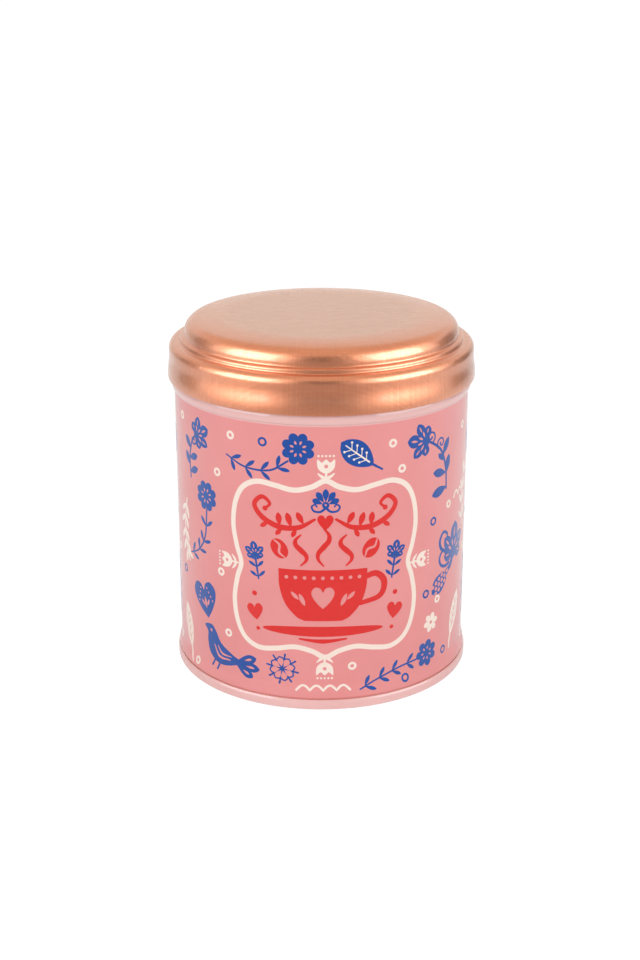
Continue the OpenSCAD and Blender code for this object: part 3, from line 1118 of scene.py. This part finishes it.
def enamel(name, light, deep, has_bead_sheen):
    made, tree, shader = material(name)
    where = place(tree)
    soft = use(tree, ripple, (-1000, 300), Size=520.0)
    tree.links.new(where, soft.inputs["Vector"])
    dust = use(tree, specks, (-1000, 60), Amount=0.035)
    tree.links.new(where, dust.inputs["Vector"])
    colour = mix_colour(tree, soft.outputs["Tone"], light, deep, (-700, 300))
    # Above the straight wall the pink turns paler: painted reflection on the rounded bead.
    if has_bead_sheen:
        height = add_node(tree, "ShaderNodeSeparateXYZ", (-1200, -200))
        tree.links.new(where, height.inputs[0])
        edge = remap(tree, height.outputs["Z"], (bead_z - 0.6) * MM, (bead_z - 0.2) * MM, at=(-950, -200))
        colour = mix_colour(tree, edge, colour, bead_sheen_pink, (-500, 250))
    faint = math_node(tree, "MULTIPLY", dust.outputs["Mask"], 0.35, (-700, 40))
    colour = mix_colour(tree, faint, colour, dust_grey, (-300, 250))
    outer = attribute(tree, "outside", (-700, -250))
    crisp = remap(tree, outer, 0.45, 0.55, at=(-500, -250))
    colour = mix_colour(tree, crisp, lacquer_gold, colour, (-120, 250))
    tree.links.new(colour, shader.inputs["Base Color"])
    tree.links.new(remap(tree, crisp, 0, 1, 0.92, 0.0, (-300, -200)), shader.inputs["Metallic"])
    rough = remap(tree, soft.outputs["Tone"], 0, 1, 0.30, 0.38, (-700, 100))
    tree.links.new(rough, shader.inputs["Roughness"])
    shader.inputs["Specular IOR Level"].default_value = 0.1
    shader.inputs["Coat Weight"].default_value = 1.0
    shader.inputs["Coat Roughness"].default_value = 0.06
    bump(tree, shader, soft.outputs["Height"], 0.05, 0.0003)
    return made


wall_enamel = enamel("wall_enamel", enamel_pink, enamel_deep, True)
base_enamel = enamel("base_enamel", sheen_rim_pink, sheen_rim_deep, False)
wall_sheet.data.materials.append(wall_enamel)
base_sheet.data.materials.append(base_enamel)
print("enamel on", wall_sheet.name, "and", base_sheet.name)

# %% [markdown]
# ## The three inks
# Offset ink is thin and not quite even. Each motif was laid down with a stored number, and
# the colour drifts a little from one to the next as well as inside each one.

# %% The ink materials
ink_colours = {
    "blue": ((0.0, 0.060, 0.31, 1), (0.004, 0.085, 0.37, 1)),
    "cream": ((0.90, 0.73, 0.62, 1), (0.93, 0.80, 0.70, 1)),
    "red": ((0.70, 0.012, 0.010, 1), (0.74, 0.024, 0.018, 1)),
}
for piece, key in ((blue_ink, "blue"), (cream_ink, "cream"), (red_ink, "red")):
    made, tree, shader = material(key + "_print")
    where = place(tree)
    soft = use(tree, ripple, (-1000, 300), Size=1500.0)
    tree.links.new(where, soft.inputs["Vector"])
    drift = remap(tree, attribute(tree, "print_run", (-1000, 0)), 0, 6, -0.25, 0.25, (-800, 0))
    uneven = math_node(tree, "ADD", soft.outputs["Tone"], drift, (-600, 100))
    patchy = math_node(tree, "MULTIPLY", soft.outputs["Height"], uneven, (-450, 100))
    colour = mix_colour(tree, patchy, *ink_colours[key], (-300, 200))
    tree.links.new(colour, shader.inputs["Base Color"])
    rough = remap(tree, soft.outputs["Height"], 0.3, 0.7, 0.34, 0.42, (-300, 0))
    tree.links.new(rough, shader.inputs["Roughness"])
    shader.inputs["Specular IOR Level"].default_value = 0.1
    shader.inputs["Coat Weight"].default_value = 1.0
    shader.inputs["Coat Roughness"].default_value = 0.06
    bump(tree, shader, soft.outputs["Height"], 0.05, 0.0001)
    piece.data.materials.append(made)
print("inks:", [p.data.materials[0].name for p in (blue_ink, cream_ink, red_ink)])

# %% [markdown]
# ## The copper finish
# The lid is steel with a copper-coloured lacquer over a brushed surface. The grain runs in
# straight lines across the flat sheet, so after pressing it bends over the shoulder with the
# metal. The stored `flat` position keeps that true: lines drawn in the flat sheet follow the
# forming by themselves. Drawing over the punch leaves faint upright streaks on the shoulder
# and the skirt. The flat top gets a darker copper colour, which is painted shade for how the
# top faces the light. The stored `along` run tells how far out the metal was worked.

# %% The copper material
copper_light = (0.91, 0.39, 0.22, 1)
copper_deep = (0.82, 0.30, 0.155, 1)
# The flat top's darker copper is painted shade for how the top faces the light.
shaded_disc_light = (0.76, 0.34, 0.185, 1)
shaded_disc_deep = (0.70, 0.28, 0.145, 1)
streak_copper = (0.66, 0.22, 0.11, 1)
made, tree, shader = material("brushed_copper")
flat_spot = attribute(tree, "flat", (-1500, 200), "Vector")
grain = use(tree, brushing, (-1200, 200), Across=7.0, Along=0.10)
tree.links.new(flat_spot, grain.inputs["Vector"])
where = place(tree, (-1500, -200))
split = add_node(tree, "ShaderNodeSeparateXYZ", (-1350, -200))
tree.links.new(where, split.inputs[0])
turn = math_node(tree, "ARCTAN2", split.outputs["X"], split.outputs["Y"], (-1200, -200))
round_run = add_node(tree, "ShaderNodeCombineXYZ", (-1050, -200))
tree.links.new(math_node(tree, "COSINE", turn, 0.0, (-1120, -260)), round_run.inputs[0])
tree.links.new(math_node(tree, "SINE", turn, 0.0, (-1120, -320)), round_run.inputs[1])
draw_marks = add_node(tree, "ShaderNodeTexNoise", (-900, -200))
draw_marks.inputs["Scale"].default_value = 60
draw_marks.inputs["Detail"].default_value = 5
draw_marks.inputs["Roughness"].default_value = 0.7
tree.links.new(round_run.outputs[0], draw_marks.inputs["Vector"])
length_run = attribute(tree, "along", (-1200, -450))
formed = remap(tree, length_run, flat_r, flat_r + 12, at=(-1000, -450))
clear_marks = remap(tree, draw_marks.outputs["Fac"], 0.3, 0.7, at=(-700, -200))
marks = math_node(tree, "MULTIPLY", clear_marks, formed, (-550, -250))
half_grain = math_node(tree, "MULTIPLY", grain.outputs["Grain"], 0.5, (-900, 250))
half_broad = math_node(tree, "MULTIPLY", grain.outputs["Broad"], 0.5, (-900, 150))
tone = math_node(tree, "ADD", half_grain, half_broad, (-750, 200))
# This mask keeps the painted shade of the flat top off the shoulder and the skirt.
off_shaded_top = remap(tree, length_run, flat_r - 3, flat_r + 9, at=(-1000, 500))
shaded_top_copper = mix_colour(tree, tone, shaded_disc_light, shaded_disc_deep, (-700, 500))
bright = mix_colour(tree, tone, copper_light, copper_deep, (-700, 300))
streaks = math_node(tree, "MULTIPLY", marks, 0.5, (-600, 100))
streaked = mix_colour(tree, streaks, bright, streak_copper, (-600, 300))
colour = mix_colour(tree, off_shaded_top, shaded_top_copper, streaked, (-500, 350))
outer = attribute(tree, "outside", (-700, 0))
crisp = remap(tree, outer, 0.45, 0.55, at=(-500, 0))
colour = mix_colour(tree, crisp, lacquer_gold, colour, (-250, 200))
tree.links.new(colour, shader.inputs["Base Color"])
shader.inputs["Metallic"].default_value = 1.0
rough_grain = math_node(tree, "MULTIPLY", grain.outputs["Grain"], 0.10, (-550, -50))
rough_marks = math_node(tree, "MULTIPLY", marks, 0.10, (-400, -200))
grit = math_node(tree, "ADD", rough_grain, 0.22, (-400, -50))
grit = math_node(tree, "ADD", grit, rough_marks, (-250, -80))
tree.links.new(grit, shader.inputs["Roughness"])
shader.inputs["Coat Weight"].default_value = 1.0
shader.inputs["Coat Roughness"].default_value = 0.13
shader.inputs["Coat IOR"].default_value = 1.6
deep_marks = math_node(tree, "MULTIPLY", marks, 1.3, (-400, -350))
relief = math_node(tree, "ADD", grain.outputs["Grain"], deep_marks, (-250, -350))
bump(tree, shader, relief, 0.32, 0.00006)
lid_sheet.data.materials.append(made)
print("copper on", lid_sheet.name)

# %% [markdown]
# ## The sealing compound
# A bead of rubbery compound seals the clinched joint of the base. It sits inside the fold,
# so it only needs a plain, matt, slightly uneven material.

# %% The sealing compound's material
made, tree, shader = material("sealing_compound")
where = place(tree)
soft = use(tree, ripple, (-800, 200), Size=900.0)
tree.links.new(where, soft.inputs["Vector"])
grey_green, pale_green = (0.48, 0.50, 0.46, 1), (0.56, 0.57, 0.52, 1)
colour = mix_colour(tree, soft.outputs["Tone"], grey_green, pale_green, (-400, 200))
rough = remap(tree, soft.outputs["Height"], 0.3, 0.7, 0.6, 0.8, (-400, 0))
tree.links.new(colour, shader.inputs["Base Color"])
tree.links.new(rough, shader.inputs["Roughness"])
bump(tree, shader, soft.outputs["Height"], 0.3, 0.0001)
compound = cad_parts["seam_compound"]
compound.data.materials.clear()
compound.data.materials.append(made)
print("compound on", compound.name)

# %% [markdown]
# ## The studio
# A shiny tin mostly shows its surroundings. Pale surroundings give the enamel its clean edges,
# and two soft boxes at the front left and right draw the bright bars on the copper. They show
# only in gloss, and three softer lamps that show only in matt colour do the plain lighting.
# The floor and the sky show pure white to the camera. For gloss the floor is a darker, warmer
# card in front of the tin and white behind it, and the high sky is warm, so that the copper
# keeps its depth.

# %% The floor
floor_mesh = bpy.data.meshes.new("floor")
reach = 3.0
floor_corners = [(-reach, -reach, 0), (reach, -reach, 0), (reach, reach, 0), (-reach, reach, 0)]
floor_mesh.from_pydata(floor_corners, [], [(0, 1, 2, 3)])
floor = bpy.data.objects.new("floor", floor_mesh)
bpy.context.scene.collection.objects.link(floor)
made = bpy.data.materials.new("pale_floor")
made.use_nodes = True
tree = made.node_tree
out = tree.nodes["Material Output"]
card = tree.nodes["Principled BSDF"]
card.inputs["Roughness"].default_value = 0.9
card.inputs["Specular IOR Level"].default_value = 0.0
white = add_node(tree, "ShaderNodeEmission", (0, -300))
white.inputs["Strength"].default_value = 1.05
path = add_node(tree, "ShaderNodeLightPath", (-200, 300))
blend = add_node(tree, "ShaderNodeMixShader", (250, 0))
depth = add_node(tree, "ShaderNodeSeparateXYZ", (-800, 0))
tree.links.new(place(tree, (-1000, 0)), depth.inputs[0])
far = remap(tree, depth.outputs["Y"], -0.30, 0.02, at=(-600, 0))
floor_front = (0.50, 0.42, 0.38, 1)
floor_behind = (0.98, 0.97, 0.96, 1)
pale_card = (0.9, 0.9, 0.9, 1)
mirrored = mix_colour(tree, far, floor_front, floor_behind, (-400, 0))
tone = mix_colour(tree, path.outputs["Is Glossy Ray"], pale_card, mirrored, (-200, 100))
tree.links.new(tone, card.inputs["Base Color"])
tree.links.new(path.outputs["Is Camera Ray"], blend.inputs[0])
tree.links.new(card.outputs[0], blend.inputs[1])
tree.links.new(white.outputs[0], blend.inputs[2])
tree.links.new(blend.outputs[0], out.inputs["Surface"])
floor_mesh.materials.append(made)
print("floor", 2 * reach, "m across")

# %% The surroundings
world = bpy.data.worlds.new("studio")
bpy.context.scene.world = world
world.use_nodes = True
tree = world.node_tree
back = tree.nodes["Background"]
path = add_node(tree, "ShaderNodeLightPath", (-600, 0))
direction = add_node(tree, "ShaderNodeSeparateXYZ", (-900, 200))
looking = add_node(tree, "ShaderNodeTexCoord", (-1100, 200))
tree.links.new(looking.outputs["Generated"], direction.inputs[0])
high = remap(tree, direction.outputs["Z"], 0.34, 0.56, at=(-750, 200))
low_sky = (0.90, 0.88, 0.86, 1)
high_sky = (0.80, 0.68, 0.56, 1)
matt_sky = (0.80, 0.80, 0.80, 1)
pure_white = (1.05, 1.05, 1.05, 1)
shiny = mix_colour(tree, high, low_sky, high_sky, (-600, 200))
seen_by_tin = mix_colour(tree, path.outputs["Is Glossy Ray"], matt_sky, shiny, (-450, 100))
sky = mix_colour(tree, path.outputs["Is Camera Ray"], seen_by_tin, pure_white, (-300, 0))
tree.links.new(sky, back.inputs["Color"])
bpy.context.scene.view_settings.view_transform = "Standard"
print("world:", world.name)

# %% [markdown]
# ## Lamps and cards
# A dark card high in front and one at each side, a little behind, give the copper something
# deep to mirror between the bright bars. A long, faintly glowing cream card behind the tin
# warms the edges that look away. The cards are hidden from the camera and stay in reflections.


# %% Soft boxes and cards
daylight = (0.88, 0.95, 1.0)


def soft_box(name, azimuth, distance, height, wide, tall, power, kind):
    light = bpy.data.lights.new(name, "AREA")
    light.shape = "RECTANGLE"
    light.size = wide
    light.size_y = tall
    light.energy = power
    light.color = daylight
    lamp = bpy.data.objects.new(name, light)
    a = math.radians(azimuth)
    lamp.location = (distance * math.sin(a), -distance * math.cos(a), height)
    aim = Vector((0, 0, 0.8 * height)) - lamp.location
    lamp.rotation_euler = aim.to_track_quat("-Z", "Y").to_euler()
    lamp.visible_diffuse = kind == "diffuse"
    lamp.visible_glossy = kind == "glossy"
    bpy.context.scene.collection.objects.link(lamp)


def flag(name, azimuth, distance, height, wide, tall, tone):
    mesh = bpy.data.meshes.new(name)
    w, h = wide / 2, tall / 2
    mesh.from_pydata([(-w, 0, -h), (w, 0, -h), (w, 0, h), (-w, 0, h)], [], [(0, 1, 2, 3)])
    board = bpy.data.objects.new(name, mesh)
    a = math.radians(azimuth)
    board.location = (distance * math.sin(a), -distance * math.cos(a), height)
    board.rotation_euler = (0, 0, a)
    bpy.context.scene.collection.objects.link(board)
    paint, _, shader = material(name)
    shader.inputs["Base Color"].default_value = (tone, tone, tone, 1)
    shader.inputs["Roughness"].default_value = 1.0
    shader.inputs["Specular IOR Level"].default_value = 0.0
    mesh.materials.append(paint)
    board.visible_camera = False
    return board


flag("flag_front", 0, 0.95, 0.70, 1.0, 1.1, 0.25)
flag("flag_left", -112, 0.60, 0.20, 0.26, 0.40, 0.3)
flag("flag_right", 122, 0.60, 0.15, 0.32, 0.32, 0.22)
sweep = flag("sweep_back", 180, 0.70, 0.20, 2.0, 0.40, 0.9)
glow = sweep.data.materials[0].node_tree.nodes["Principled BSDF"]
glow.inputs["Base Color"].default_value = (0.90, 0.84, 0.77, 1)
glow.inputs["Emission Color"].default_value = (1, 0.9, 0.8, 1)
glow.inputs["Emission Strength"].default_value = 0.06

# %% The lamps
soft_box("box_left", -58, 0.45, 0.30, 0.38, 0.43, 1.95, "glossy")
soft_box("box_right", 63, 0.45, 0.30, 0.40, 0.43, 2.0, "glossy")
soft_box("fill_left", -65, 0.45, 0.27, 0.46, 0.485, 0.35, "diffuse")
soft_box("fill_right", 75, 0.45, 0.27, 0.60, 0.485, 0.40, "diffuse")
soft_box("fill_front", 0, 0.80, 0.55, 0.9, 0.6, 3.8, "diffuse")

# %% [markdown]
# ## The camera
# The camera stands at about arm's length, a little above the lid, with a slightly long lens,
# so the sides of the tin stay almost parallel. It looks down by about 20 degrees.

# %% The camera
eye = bpy.data.cameras.new("eye")
eye.lens = 58.65
eye.sensor_width = 36
look_down = 0.342
camera = bpy.data.objects.new("eye", eye)
camera.location = (-0.0005, -0.5341, 0.2552)
camera.rotation_euler = (math.pi / 2 - look_down, 0, 0)
bpy.context.scene.collection.objects.link(camera)
bpy.context.scene.camera = camera
print("camera", round(camera.location.length, 3), "m from the foot of the tin")
